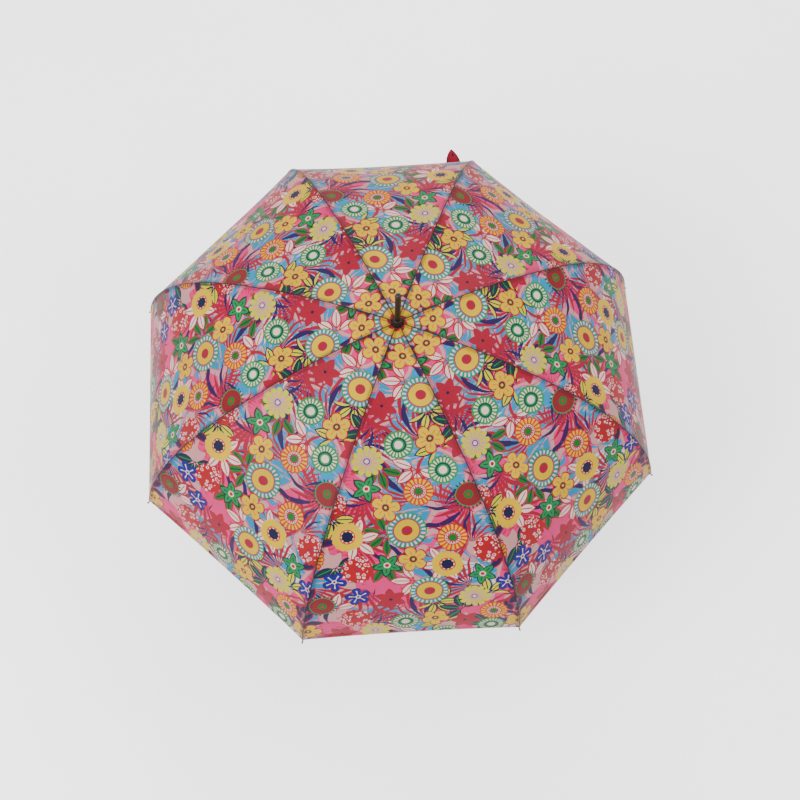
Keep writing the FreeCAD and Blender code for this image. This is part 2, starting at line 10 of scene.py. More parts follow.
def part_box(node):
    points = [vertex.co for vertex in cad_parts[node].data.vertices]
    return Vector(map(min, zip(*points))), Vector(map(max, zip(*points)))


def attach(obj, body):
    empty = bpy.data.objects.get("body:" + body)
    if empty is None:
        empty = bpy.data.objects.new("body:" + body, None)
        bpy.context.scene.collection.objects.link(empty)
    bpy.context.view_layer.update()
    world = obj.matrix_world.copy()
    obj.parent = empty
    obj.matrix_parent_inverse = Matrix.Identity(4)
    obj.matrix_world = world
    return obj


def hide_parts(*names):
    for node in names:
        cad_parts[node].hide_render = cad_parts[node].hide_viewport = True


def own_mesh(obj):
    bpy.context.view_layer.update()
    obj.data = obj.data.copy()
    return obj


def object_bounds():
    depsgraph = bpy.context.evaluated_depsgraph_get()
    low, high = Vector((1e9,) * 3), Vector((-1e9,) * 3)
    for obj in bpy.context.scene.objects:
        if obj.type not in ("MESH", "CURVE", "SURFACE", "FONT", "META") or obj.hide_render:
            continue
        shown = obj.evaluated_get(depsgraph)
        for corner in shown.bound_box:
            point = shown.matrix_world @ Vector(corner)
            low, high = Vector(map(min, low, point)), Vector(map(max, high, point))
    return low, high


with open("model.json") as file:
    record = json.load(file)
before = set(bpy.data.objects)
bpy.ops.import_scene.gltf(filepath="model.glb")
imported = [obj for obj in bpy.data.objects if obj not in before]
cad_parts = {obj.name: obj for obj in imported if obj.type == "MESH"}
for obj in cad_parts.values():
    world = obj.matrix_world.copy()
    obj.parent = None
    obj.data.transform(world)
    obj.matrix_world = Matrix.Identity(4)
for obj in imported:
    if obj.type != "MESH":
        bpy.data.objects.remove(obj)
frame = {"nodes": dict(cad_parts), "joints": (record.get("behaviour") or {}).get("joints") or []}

CAD_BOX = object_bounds()
SEED = 7

# ------------------------------------------------------------------ measures, metres and radians
RIB_COUNT = 8
HALF_PITCH = math.pi / RIB_COUNT
PIVOT_RADIUS = 0.012
INNER_BEND_RADIUS = 0.660
INNER_BEND = math.radians(25)
OUTER_BEND_RADIUS = 0.300
OUTER_BEND = math.radians(55)
HOLE_RADIUS = 0.0062
CLOTH_OFFSET = 0.0027
CLOTH_THICKNESS = 0.00035
SAG = 0.0045
SCALLOP = 0.0075
HEM_WIDTH = 0.008
SEAM_HALF_WIDTH = 0.005
UNDERLAP = 0.019
HEM_PULL_START = 0.72  # share of the arc where the hem's own tension begins to draw the cloth in
SLACK = 0.0009  # height of the faint waves in the cloth
PUCKER = 0.0005  # height of the gathers beside a seam
SEAM_LIFT = 0.0004
SEAM_CROWN = 0.0005
UNDERLAP_LIFT = -0.0007
UNDERLAP_END = 0.003
HEM_LIFT = 0.0003
HEM_STEP = 0.0004
ROWS = 34
COLUMNS = 13
SEAM_ROWS = 40
UNDERLAP_ROWS = 4
TILE = 0.34  # side of the print's square repeat

THREADS_PER_METRE = 1400
STITCHES_PER_METRE = 400.0
STITCH_SHARE = 0.62
STITCH_FROM_RIB = 0.0036
STITCH_FROM_HEM = 0.0062
STITCH_HALF_WIDTH = 0.0003
# Half width of the painted shade line along a seam's groove, each side of the rib line.
DITCH_SHADE_HALF_WIDTH = 0.0009
# How fast the painted shade beside a seam fades, per metre from the rib.
SEAM_SHADE_PER_METRE = 90.0

CROWN_HEIGHT = next(j for j in frame["joints"] if j["name"] == "rib_hinge_1")["pos_m"][2]
LEAD_LENGTH = PIVOT_RADIUS - HOLE_RADIUS
INNER_LENGTH = INNER_BEND_RADIUS * INNER_BEND
OUTER_LENGTH = OUTER_BEND_RADIUS * OUTER_BEND
KNUCKLE_ARC = LEAD_LENGTH + INNER_LENGTH
HEM_ARC = KNUCKLE_ARC + OUTER_LENGTH


def profile(arc, offset):
    """Reach, height over the crown pivot and slope of the rib line, at a length from the hole."""
    arc = np.asarray(arc, float)
    along = np.clip(arc - LEAD_LENGTH, 0, None)
    inner = np.clip(along, 0, INNER_LENGTH) / INNER_BEND_RADIUS
    outer = np.clip(along - INNER_LENGTH, 0, None) / OUTER_BEND_RADIUS
    slope = inner + outer
    reach = PIVOT_RADIUS + INNER_BEND_RADIUS * np.sin(inner)
    reach = reach + OUTER_BEND_RADIUS * (np.sin(slope) - np.sin(inner)) - np.clip(LEAD_LENGTH - arc, 0, None)
    height = -INNER_BEND_RADIUS * (1 - np.cos(inner))
    height = height - OUTER_BEND_RADIUS * (np.cos(inner) - np.cos(slope))
    return reach + offset * np.sin(slope), height + offset * np.cos(slope), slope


def rib_azimuth(number):
    """Angle of a rib about +Z; ribs are numbered from 1."""
    return HALF_PITCH * (2 * number - 1)


def clean():
    """Removes whatever the default scene brought."""
    for name in ("Cube", "Light", "Camera"):
        if name in bpy.data.objects:
            bpy.data.objects.remove(bpy.data.objects[name])


# ------------------------------------------------------------------ shader helper
class Net:
    """Short calls for building a node tree; values are numbers, colours, vectors or sockets."""

    def __init__(self, tree):
        self.tree = tree

    def put(self, kind, **settings):
        node = self.tree.nodes.new(kind)
        for key, value in settings.items():
            setattr(node, key, value)
        return node

    def feed(self, socket, value):
        if isinstance(value, bpy.types.NodeSocket):
            self.tree.links.new(value, socket)
        elif value is not None:
            socket.default_value = value

    def math(self, operation, a, b=None, c=None):
        node = self.put("ShaderNodeMath", operation=operation)
        for socket, value in zip(node.inputs, (a, b, c)):
            self.feed(socket, value)
        return node.outputs[0]

    def vector(self, operation, a, b=None, c=None, scale=None, out=0):
        node = self.put("ShaderNodeVectorMath", operation=operation)
        for socket, value in zip(node.inputs, (a, b, c)):
            self.feed(socket, value)
        if scale is not None:
            self.feed(node.inputs["Scale"], scale)
        return node.outputs[out]

    def mix(self, share, a, b, blend="MIX"):
        node = self.put("ShaderNodeMix", data_type="RGBA", blend_type=blend)
        self.feed(node.inputs[0], share)
        self.feed(node.inputs[6], a)
        self.feed(node.inputs[7], b)
        return node.outputs[2]

    def noise(self, where, scale, detail=2.0, distortion=0.0):
        node = self.put("ShaderNodeTexNoise")
        self.feed(node.inputs["Vector"], where)
        node.inputs["Scale"].default_value = scale
        node.inputs["Detail"].default_value = detail
        node.inputs["Distortion"].default_value = distortion
        return node.outputs[0]

    def voronoi(self, where, scale, feature="F1", out=0):
        node = self.put("ShaderNodeTexVoronoi", feature=feature)
        self.feed(node.inputs["Vector"], where)
        node.inputs["Scale"].default_value = scale
        return node.outputs[out]

    def less(self, a, b):
        return self.math("LESS_THAN", a, b)

    def more(self, a, b):
        return self.math("GREATER_THAN", a, b)

    def both(self, a, b):
        return self.math("MULTIPLY", a, b)

    def axes(self, where):
        node = self.put("ShaderNodeSeparateXYZ")
        self.feed(node.inputs[0], where)
        return node.outputs[0], node.outputs[1]

    def grey(self, value):
        node = self.put("ShaderNodeCombineColor")
        for socket in node.inputs[:3]:
            self.feed(socket, value)
        return node.outputs[0]


def srgb(red, green, blue):
    """Linear colour from display values out of 255."""
    parts = []
    for value in (red, green, blue):
        share = value / 255
        parts.append(share / 12.92 if share <= 0.04045 else ((share + 0.055) / 1.055) ** 2.4)
    return (*parts, 1.0)


# The print's colours, before cloth_material deepens them.
CRIMSON = srgb(216, 0, 128)
RED = srgb(222, 8, 96)
ROSE = srgb(240, 108, 170)
PINK = srgb(248, 174, 208)
AQUA = srgb(136, 208, 226)
CREAM = srgb(238, 216, 216)
WHITE = srgb(254, 242, 240)
YELLOW = srgb(246, 226, 0)
PALE_YELLOW = srgb(240, 236, 124)
ORANGE = srgb(250, 180, 0)
MINT = srgb(40, 200, 150)
GREEN = srgb(40, 182, 112)
TEAL = srgb(0, 130, 142)
NAVY = srgb(48, 40, 140)
ROYAL = srgb(64, 64, 200)
PURPLE = srgb(124, 10, 160)
MAGENTA = srgb(214, 0, 140)
WINE = srgb(204, 34, 104)
THREAD = srgb(196, 92, 128)
# Painted shade colour for the line along each seam's groove.
DITCH_SHADE = srgb(60, 18, 44)
# Painted shade colour for the cloth beside the seams.
SEAM_SHADE = srgb(84, 30, 70)
UNDERSIDE = srgb(226, 206, 208)


# ------------------------------------------------------------------ print motifs
def motif_group(name, paint):
    """A node group that lays one motif, of unit radius, over the colour under it."""
    tree = bpy.data.node_groups.new(name, "ShaderNodeTree")
    for label, kind in (("Under", "Color"), ("Point", "Vector"), ("Centre", "Vector"),
                        ("Turn", "Float"), ("Radius", "Float")):
        tree.interface.new_socket(label, in_out="INPUT", socket_type="NodeSocket" + kind)
    tree.interface.new_socket("Colour", in_out="OUTPUT", socket_type="NodeSocketColor")
    net = Net(tree)
    given = net.put("NodeGroupInput").outputs
    half = (TILE / 2, TILE / 2, TILE / 2)
    # The point also takes a billionth of the colour: the motifs are then worked out one after
    # another, and the renderer doesn't hold all their values at the same time.
    trace = (1e-9, 1e-9, 1e-9)
    chained = net.vector("MULTIPLY_ADD", given["Under"], trace, given["Point"])
    local = net.vector("SUBTRACT", chained, given["Centre"])
    local = net.vector("WRAP", local, half, tuple(-value for value in half))
    turned = net.put("ShaderNodeVectorRotate", rotation_type="Z_AXIS")
    net.feed(turned.inputs["Vector"], local)
    net.feed(turned.inputs["Angle"], given["Turn"])
    size = net.math("DIVIDE", 1.0, given["Radius"])
    unit = net.vector("SCALE", turned.outputs[0], scale=size)
    colour = paint(net, unit, given["Under"])
    net.feed(net.put("NodeGroupOutput").inputs[0], colour)
    return tree


def polar(net, unit):
    """Radius and angle of a point."""
    x, y = net.axes(unit)
    return net.vector("LENGTH", unit, out=1), net.math("ARCTAN2", y, x)


def sector(net, angle, count):
    """Place within a repeated sector, from 0 to 1, with its middle at 0.5."""
    return net.math("FRACT", net.math("MULTIPLY_ADD", angle, count / math.tau, 100.0))


def bloom(petals, lobe, outline, fill, slit, discs, slit_width=0.03, rim=0.07, pointed=False,
          dots=None, rays=None):
    """A round or star-shaped flower: lobed outline, petals with lines between, discs inside."""

    def paint(net, unit, under):
        radius, angle = polar(net, unit)
        place = sector(net, angle, petals)
        off = net.math("ABSOLUTE", net.math("SUBTRACT", place, 0.5))
        if pointed:
            edge = net.math("MULTIPLY_ADD", off, -2 * lobe, 1.0)
        else:
            notch = net.math("POWER", net.math("MULTIPLY", off, 2.0), 3.0)
            edge = net.math("MULTIPLY_ADD", notch, -lobe, 1.0)
        colour = net.mix(net.less(radius, edge), under, outline)
        inside = net.less(net.math("ADD", radius, rim), edge)
        gap = net.math("MULTIPLY", net.math("SUBTRACT", 0.5, off), radius)
        petal = net.mix(net.less(gap, slit_width * petals / math.tau), fill, slit)
        colour = net.mix(inside, colour, petal)
        for reach, shade in discs:
            colour = net.mix(net.less(radius, reach), colour, shade)
        if dots:
            count, ring, dot_size, shade = dots
            spot = net.math("SUBTRACT", sector(net, angle, count), 0.5)
            across = net.math("MULTIPLY", spot, math.tau * ring / count)
            out = net.math("SUBTRACT", radius, ring)
            across_square = net.math("MULTIPLY", across, across)
            square = net.math("ADD", across_square, net.math("MULTIPLY", out, out))
            colour = net.mix(net.less(square, dot_size ** 2), colour, shade)
        if rays:
            count, start, end, share, shade = rays
            spoke = net.math("ABSOLUTE", net.math("SUBTRACT", sector(net, angle, count), 0.5))
            band = net.both(net.more(radius, start), net.less(radius, end))
            colour = net.mix(net.both(band, net.less(spoke, share)), colour, shade)
        return colour

    return paint


def pompom(net, unit, under):
    """A ball of small curled petals."""
    cells_across = 3.4
    radius, angle = polar(net, unit)
    wobble = net.math("MULTIPLY_ADD", net.math("SINE", net.math("MULTIPLY", angle, 15.0)), 0.05, 0.95)
    cell = net.voronoi(unit, cells_across)
    edge = net.voronoi(unit, cells_across, "DISTANCE_TO_EDGE")
    petal = net.mix(net.less(cell, 0.42), RED, WHITE)
    petal = net.mix(net.less(cell, 0.26), petal, PINK)
    petal = net.mix(net.less(edge, 0.09), petal, RED)
    petal = net.mix(net.less(radius, 0.22), petal, CRIMSON)
    return net.mix(net.less(radius, wobble), under, petal)


def leaves(count, fan, start, length, width, fill, line, vein):
    """Leaves round a point, each a pointed oval with an outline and a mid-vein."""
    outline, half_vein, half_stem = 0.055, 0.022, 0.02

    def paint(net, unit, under):
        radius, angle = polar(net, unit)
        place = net.math("SUBTRACT", sector(net, angle, count), 0.5)
        across = net.math("MULTIPLY", net.math("MULTIPLY", place, math.tau / count), radius)
        across = net.math("ABSOLUTE", across)
        along = net.math("DIVIDE", net.math("SUBTRACT", radius, start), length)
        bulge = net.math("MULTIPLY", along, net.math("SUBTRACT", 1.0, along))
        half = net.math("MULTIPLY", bulge, 4 * width)
        shown = net.less(net.math("ABSOLUTE", angle), fan)
        colour = net.mix(net.both(shown, net.less(across, half)), under, line)
        core = net.both(shown, net.less(net.math("ADD", across, outline), half))
        blade = net.mix(net.both(net.less(across, half_vein), net.less(along, 0.8)), fill, vein)
        colour = net.mix(core, colour, blade)
        stem = net.both(net.both(shown, net.less(across, half_stem)), net.less(radius, start + 0.05))
        return net.mix(stem, colour, line)

    return paint


def blades(count, fan, bend, shades):
    """A fan of long grass-like strokes, bent one way, in a few colours."""

    def paint(net, unit, under):
        radius, angle = polar(net, unit)
        bent = net.math("MULTIPLY_ADD", radius, bend, angle)
        rough = net.noise(unit, 2.2, 1.0)
        bent = net.math("MULTIPLY_ADD", rough, 0.5, bent)
        turns = net.math("MULTIPLY_ADD", bent, count / math.tau, 100.0)
        stroke = net.math("ABSOLUTE", net.math("SUBTRACT", net.math("FRACT", turns), 0.5))
        pick = net.put("ShaderNodeTexWhiteNoise", noise_dimensions="1D")
        net.feed(pick.inputs["W"], net.math("FLOOR", turns))
        chance = pick.outputs[0]
        reach = net.math("MULTIPLY_ADD", chance, 0.45, 0.55)
        along = net.math("DIVIDE", radius, reach)
        half = net.math("MULTIPLY", net.math("SUBTRACT", 1.0, along), 0.62)
        half = net.math("MINIMUM", half, 0.36)
        shown = net.both(net.less(stroke, half), net.less(net.math("ABSOLUTE", angle), fan))
        shade = shades[0]
        for step, other in enumerate(shades[1:], start=1):
            hue = net.math("FRACT", net.math("MULTIPLY", chance, 7.0))
            shade = net.mix(net.more(hue, step / len(shades)), shade, other)
        return net.mix(shown, under, shade)

    return paint


# Blooms: petals, depth of the lobes, outline, fill, lines between petals, then discs from the widest.
# Dots: how many, ring radius, size, colour. Rays: how many, start, end, half width, colour.
MOTIFS = {
    "orange_daisy": bloom(18, 0.10, RED, ORANGE, RED,
                          [(0.52, RED), (0.47, WHITE), (0.43, MAGENTA), (0.24, GREEN)],
                          dots=(14, 0.36, 0.045, WHITE), rays=(18, 0.56, 0.90, 0.20, YELLOW)),
    "mint_daisy": bloom(20, 0.08, MINT, MINT, MINT, [(0.50, TEAL), (0.40, MINT), (0.28, WHITE)],
                        rays=(20, 0.56, 0.86, 0.22, WHITE)),
    "big_disc": bloom(24, 0.06, MINT, AQUA, MINT, [(0.68, RED), (0.62, YELLOW), (0.27, RED), (0.21, MAGENTA)],
                      rays=(24, 0.74, 0.93, 0.20, WHITE)),
    "navy_centre": bloom(16, 0.09, YELLOW, YELLOW, YELLOW, [(0.50, RED), (0.44, ORANGE), (0.38, NAVY)],
                         dots=(9, 0.40, 0.05, WHITE)),
    "spiked_disc": bloom(22, 0.35, TEAL, TEAL, TEAL,
                         [(0.80, MINT), (0.74, WINE), (0.27, GREEN), (0.09, CRIMSON)],
                         pointed=True, rays=(26, 0.30, 0.70, 0.09, TEAL)),
    "yellow_five": bloom(5, 0.52, RED, YELLOW, YELLOW, [(0.26, RED), (0.20, TEAL), (0.10, YELLOW)],
                         rim=0.10, rays=(5, 0.20, 0.62, 0.05, ORANGE)),
    "green_star": bloom(5, 0.52, NAVY, MINT, MINT, [(0.22, WHITE), (0.13, RED)], rim=0.11, pointed=True,
                        rays=(5, 0.20, 0.60, 0.05, TEAL)),
    "crimson_star": bloom(6, 0.42, CRIMSON, CRIMSON, CRIMSON, [(0.10, NAVY)], pointed=True,
                          rays=(6, 0.12, 0.40, 0.04, WINE)),
    "blue_five": bloom(5, 0.58, NAVY, ROYAL, ROYAL, [(0.20, WHITE), (0.10, NAVY)], rim=0.05,
                       rays=(5, 0.20, 0.70, 0.07, WHITE)),
    "pale_daisy": bloom(12, 0.30, PALE_YELLOW, PALE_YELLOW, CREAM,
                        [(0.34, CREAM), (0.20, ROYAL), (0.13, WHITE)],
                        rays=(24, 0.4, 0.75, 0.12, CREAM)),
    "pompom": pompom,
    "cream_leaves": leaves(7, 2.2, 0.10, 0.88, 0.20, PALE_YELLOW, NAVY, NAVY),
    "red_line_leaves": leaves(6, 1.9, 0.12, 0.85, 0.22, WHITE, RED, RED),
    "green_leaves": leaves(7, 1.6, 0.12, 0.85, 0.19, GREEN, CRIMSON, TEAL),
    "teal_leaves": leaves(6, 2.1, 0.10, 0.86, 0.21, TEAL, NAVY, MINT),
    "purple_leaves": leaves(6, 2.4, 0.10, 0.84, 0.20, PURPLE, CRIMSON, NAVY),
    "hot_blades": blades(24, 1.35, 0.5, (CRIMSON, PURPLE, CRIMSON, NAVY)),
    "pink_blades": blades(22, 1.2, -0.6, (CRIMSON, CRIMSON, MAGENTA, ROSE)),
    "cool_strokes": blades(16, 1.5, 0.9, (CREAM, WHITE, AQUA)),
}

# Layers from the lowest up: motif, how many in a repeat, radius in mm.
PLAN = [
    [("cool_strokes", 3, 76)],
    [("hot_blades", 9, 104), ("pink_blades", 4, 96)],
    [("red_line_leaves", 5, 40), ("cream_leaves", 5, 40), ("green_leaves", 3, 42), ("teal_leaves", 3, 40),
     ("purple_leaves", 5, 40), ("hot_blades", 5, 66)],
    [("crimson_star", 4, 26), ("pale_daisy", 2, 25), ("green_star", 3, 24), ("yellow_five", 4, 24),
     ("blue_five", 3, 20), ("pompom", 4, 26), ("spiked_disc", 3, 26), ("mint_daisy", 4, 23),
     ("navy_centre", 2, 25), ("orange_daisy", 4, 24), ("big_disc", 2, 31)],
]


def scattered(kinds, rng):
    """Places the motifs of one layer in the repeat, each as far from the others as it can be."""
    tries, overlap = 80, 0.8
    order = [(name, radius / 1000) for name, count, radius in kinds for _ in range(count)]
    rng.shuffle(order)
    placed = []
    for name, radius in order:
        best, best_room = None, -math.inf
        for _ in range(tries):
            spot = (rng.random() * TILE, rng.random() * TILE)
            room = math.inf
            for _, x, y, _, other in placed:
                gap_x = abs((spot[0] - x + TILE / 2) % TILE - TILE / 2)
                gap_y = abs((spot[1] - y + TILE / 2) % TILE - TILE / 2)
                room = min(room, math.hypot(gap_x, gap_y) - overlap * (radius + other))
            if room > best_room:
                best, best_room = spot, room
        placed.append((name, best[0], best[1], rng.uniform(0, math.tau), radius))
    return placed


def print_group():
    """The whole repeat: painted ground, then every motif, from place in metres to colour."""
    groups = {name: motif_group(name, paint) for name, paint in MOTIFS.items()}
    tree = bpy.data.node_groups.new("cloth_print", "ShaderNodeTree")
    tree.interface.new_socket("Point", in_out="INPUT", socket_type="NodeSocketVector")
    tree.interface.new_socket("Colour", in_out="OUTPUT", socket_type="NodeSocketColor")
    net = Net(tree)
    point = net.put("NodeGroupInput").outputs[0]
    rough = net.noise(point, 26.0, 2.0)
    patch = net.noise(point, 9.0, 2.0, 0.6)
    streak = net.noise(net.vector("MULTIPLY", point, (30.0, 130.0, 1.0)), 1.0, 3.0, 1.5)
    ground = net.mix(net.more(patch, 0.50), PINK, AQUA)
    ground = net.mix(net.both(net.more(patch, 0.44), net.less(patch, 0.49)), ground, CREAM)
    ground = net.mix(net.both(net.more(streak, 0.58), net.more(patch, 0.50)), ground, CREAM)
    ground = net.mix(net.both(net.more(streak, 0.60), net.less(patch, 0.44)), ground, ROSE)
    shift = 0.006  # how far the drawing wavers
    wobble = net.put("ShaderNodeCombineXYZ")
    net.feed(wobble.inputs[0], net.math("MULTIPLY_ADD", rough, shift, -shift / 2))
    net.feed(wobble.inputs[1], net.math("MULTIPLY_ADD", patch, shift, -shift / 2))
    moved = net.vector("ADD", point, wobble.outputs[0])
    colour = ground
    rng = random.Random(SEED)
    for name, x, y, turn, radius in [motif for kinds in PLAN for motif in scattered(kinds, rng)]:
        node = net.put("ShaderNodeGroup", node_tree=groups[name])
        net.feed(node.inputs["Under"], colour)
        net.feed(node.inputs["Point"], moved)
        node.inputs["Centre"].default_value = (x, y, 0.0)
        node.inputs["Turn"].default_value = turn
        node.inputs["Radius"].default_value = radius
        colour = node.outputs[0]
    net.feed(net.put("NodeGroupOutput").inputs[0], colour)
    return tree


def cloth_material(name, pattern, inside):
    """Printed pongee: print, fine plain weave, stitch lines at seams and hem, painted shade along the seams;
    paler inside.
    """
    paler, saturation, value, gamma = 0.42, 1.38, 0.64, 2.4
    material = bpy.data.materials.new(name)
    material.use_nodes = True
    net = Net(material.node_tree)
    shader = material.node_tree.nodes["Principled BSDF"]
    place = net.put("ShaderNodeUVMap", uv_map="Print").outputs[0]
    edge = net.put("ShaderNodeUVMap", uv_map="Seam").outputs[0]
    flower = net.put("ShaderNodeGroup", node_tree=pattern)
    net.feed(flower.inputs[0], place)
    colour = flower.outputs[0]
    if inside:
        colour = net.mix(paler, colour, UNDERSIDE)
    x, y = net.axes(place)
    weft = net.math("SINE", net.math("MULTIPLY", x, math.tau * THREADS_PER_METRE))
    warp = net.math("SINE", net.math("MULTIPLY", y, math.tau * THREADS_PER_METRE))
    weave = net.math("MULTIPLY", weft, warp)
    fold = net.noise(place, 14.0, 3.0)
    worn = net.math("MULTIPLY_ADD", fold, 0.20, 0.90)
    colour = net.mix(1.0, colour, net.grey(worn), "MULTIPLY")
    from_rib, from_top = net.axes(edge)
    to_hem = net.math("SUBTRACT", HEM_ARC, from_top)
    lines = []
    for distance, stitched_at, course in (
        (from_rib, STITCH_FROM_RIB, from_top),
        (to_hem, STITCH_FROM_HEM, x),
    ):
        dash = net.less(net.math("FRACT", net.math("MULTIPLY", course, STITCHES_PER_METRE)), STITCH_SHARE)
        off_line = net.math("ABSOLUTE", net.math("SUBTRACT", distance, stitched_at))
        lines.append(net.both(net.less(off_line, STITCH_HALF_WIDTH), dash))
    stitch = net.math("MAXIMUM", *lines)
    colour = net.mix(stitch, colour, THREAD)
    # Painted shade along the seam's groove: a dark line 0.9 mm each side of the rib line, mixed in at 45 %.
    ditch_shade = net.less(from_rib, DITCH_SHADE_HALF_WIDTH)
    colour = net.mix(net.math("MULTIPLY", ditch_shade, 0.45), colour, DITCH_SHADE)
    # Painted shade beside the seams: within about 11 mm of a rib the colour is mixed towards a dark shade
    # colour, up to 30 % at the rib.
    away = net.math("MINIMUM", net.math("MULTIPLY", from_rib, SEAM_SHADE_PER_METRE), 1.0)
    near = net.math("SUBTRACT", 1.0, away)
    seam_shade = net.math("MULTIPLY", net.math("MULTIPLY", near, near), 0.30)
    colour = net.mix(seam_shade, colour, SEAM_SHADE)
    vivid = net.put("ShaderNodeHueSaturation")
    vivid.inputs["Saturation"].default_value = saturation
    vivid.inputs["Value"].default_value = value
    net.feed(vivid.inputs["Color"], colour)
    deep = net.put("ShaderNodeGamma")
    deep.inputs["Gamma"].default_value = gamma
    net.feed(deep.inputs["Color"], vivid.outputs[0])
    net.feed(shader.inputs["Base Color"], deep.outputs[0])
    shader.inputs["Roughness"].default_value = 0.55
    shader.inputs["Specular IOR Level"].default_value = 0.12
    shader.inputs["Sheen Weight"].default_value = 0.02
    shader.inputs["Sheen Roughness"].default_value = 0.4
    height = net.math("MULTIPLY_ADD", weave, 0.10, net.math("MULTIPLY", stitch, 0.9))
    height = net.math("ADD", height, net.math("MULTIPLY", fold, 0.35))
    bump = net.put("ShaderNodeBump")
    bump.inputs["Strength"].default_value = 0.35
    bump.inputs["Distance"].default_value = 0.0006
    net.feed(bump.inputs["Height"], height)
    net.feed(shader.inputs["Normal"], bump.outputs[0])
    return material


# ------------------------------------------------------------------ hard materials
def hard_material(name, base, metallic, roughness, grain_scale, grain_depth, wear,
                  coat=0.0, stretch=(1, 1, 1)):
    """Plastic or metal with a grain, slight colour variation and lighter rubbed patches."""
    spread = 0.22  # of the roughness
    material = bpy.data.materials.new(name)
    material.use_nodes = True
    net = Net(material.node_tree)
    shader = material.node_tree.nodes["Principled BSDF"]
    where = net.vector("MULTIPLY", net.put("ShaderNodeTexCoord").outputs["Object"], stretch)
    broad = net.noise(where, 34.0, 3.0)
    fine = net.noise(where, grain_scale, 4.0)
    rubbed = net.math("MULTIPLY", net.math("POWER", broad, 3.0), wear)
    light = tuple(min(1.0, value * 1.5 + 0.04) for value in base[:3]) + (1.0,)
    colour = net.mix(rubbed, base, light)
    net.feed(shader.inputs["Base Color"], colour)
    shader.inputs["Metallic"].default_value = metallic
    shader.inputs["Specular IOR Level"].default_value = 0.5 if metallic else 0.28
    shader.inputs["Coat Weight"].default_value = coat
    shader.inputs["Coat Roughness"].default_value = 0.08
    net.feed(shader.inputs["Roughness"], net.math("MULTIPLY_ADD", fine, spread, roughness - spread / 2))
    bump = net.put("ShaderNodeBump")
    bump.inputs["Strength"].default_value = 0.25
    bump.inputs["Distance"].default_value = grain_depth
    net.feed(bump.inputs["Height"], fine)
    net.feed(shader.inputs["Normal"], bump.outputs[0])
    return material


def paint_frame():
    """Gives each shown CAD node its material."""
    gloss = hard_material("black_gloss", srgb(7, 7, 8), 0.0, 0.36, 900, 0.00006, 0.06)
    satin = hard_material("black_satin", srgb(20, 19, 21), 0.0, 0.46, 1400, 0.0001, 0.3)
    chrome = hard_material("polished_steel", srgb(196, 198, 202), 1.0, 0.20, 700, 0.00006, 0.4,
                           stretch=(1, 1, 0.05))
    spring = hard_material("spring_steel", srgb(160, 160, 164), 1.0, 0.34, 1100, 0.00008, 0.5)
    dark = hard_material("dark_steel", srgb(58, 58, 62), 1.0, 0.40, 1300, 0.00008, 0.9)
    fibre = hard_material("glass_fibre", srgb(34, 34, 36), 0.0, 0.38, 500, 0.00012, 0.7, 0.15)
    table = {
        "shaft_tube": chrome, "handle_collar": chrome, "handle_cap": chrome,
        "ferrule": gloss, "ferrule_collar": gloss, "handle": gloss, "strap_snap": gloss,
        "crown": satin, "runner": satin,
        "crown_wire": spring, "stop_pin": spring, "top_catch": spring, "bottom_catch": spring,
    }
    for number in range(1, RIB_COUNT + 1):
        table["rib_inner_%d" % number] = dark
        table["stretcher_%d" % number] = dark
        table["rib_outer_%d" % number] = fibre
        table["rib_tip_%d" % number] = dark
    for node, material in table.items():
        data = frame["nodes"][node].data
        data.materials.clear()
        data.materials.append(material)


# ------------------------------------------------------------------ cloth geometry
def ripple(gore, arc, share):
    """Slack in the cloth: faint waves that die out at the ribs."""
    rng = random.Random(SEED + gore)
    phase = [rng.uniform(0, math.tau) for _ in range(3)]
    down = arc / HEM_ARC
    wave = np.sin(math.tau * 1.6 * down + phase[0] + 2.0 * share)
    wave = wave + 0.6 * np.sin(math.tau * 3.4 * down + phase[1] - 3.0 * share)
    wave = wave + 0.35 * np.sin(math.tau * 6.5 * down + phase[2] + 5.0 * share)
    pucker = PUCKER * np.sin(math.tau * 26 * down) * np.exp(-((1 - np.abs(share)) / 0.10) ** 2)
    slack = SLACK * wave * np.sin(math.pi * np.clip(down, 0, 1))
    return (slack + pucker) * (1 - share ** 2)


def cloth_point(gore, arc, share, lift):
    """Place on a gore: arc length from the hole, share -1 to 1 from its first rib to its second."""
    pull_length = (1 - HEM_PULL_START) * HEM_ARC
    hem_pull = np.clip((arc - HEM_PULL_START * HEM_ARC) / pull_length, 0, 1) ** 2
    used = arc - SCALLOP * hem_pull * (1 - share ** 2)
    reach, height, slope = profile(used, CLOTH_OFFSET + lift)
    down = np.clip(arc / HEM_ARC, 0, 1)
    inward = SAG * np.sin(math.pi * down ** 0.8) * (1 - share ** 2) - ripple(gore, arc, share)
    middle = reach * math.cos(HALF_PITCH) - inward * np.sin(slope)
    side = share * reach * math.sin(HALF_PITCH)
    level = CROWN_HEIGHT + height - inward * np.cos(slope)
    turn = rib_azimuth(gore) + HALF_PITCH
    x = middle * math.cos(turn) - side * math.sin(turn)
    y = middle * math.sin(turn) + side * math.cos(turn)
    return np.stack([x, y, level], axis=-1)


def grid_mesh(name, points, print_uv, seam_uv, flip):
    """A sheet of quads through a grid of points, with its two texture maps."""
    rows, columns = points.shape[:2]
    index = np.arange(rows * columns).reshape(rows, columns)
    corners = [index[:-1, :-1], index[1:, :-1], index[1:, 1:], index[:-1, 1:]]
    quads = np.stack(corners, axis=-1).reshape(-1, 4)
    if flip:
        quads = quads[:, ::-1]
    mesh = bpy.data.meshes.new(name)
    mesh.from_pydata(points.reshape(-1, 3).tolist(), [], quads.tolist())
    for label, values in (("Print", print_uv), ("Seam", seam_uv)):
        layer = mesh.uv_layers.new(name=label)
        layer.data.foreach_set("uv", values.reshape(-1, 2)[quads.ravel()].astype(np.float32).ravel())
    mesh.uv_layers.active = mesh.uv_layers["Print"]
    return mesh


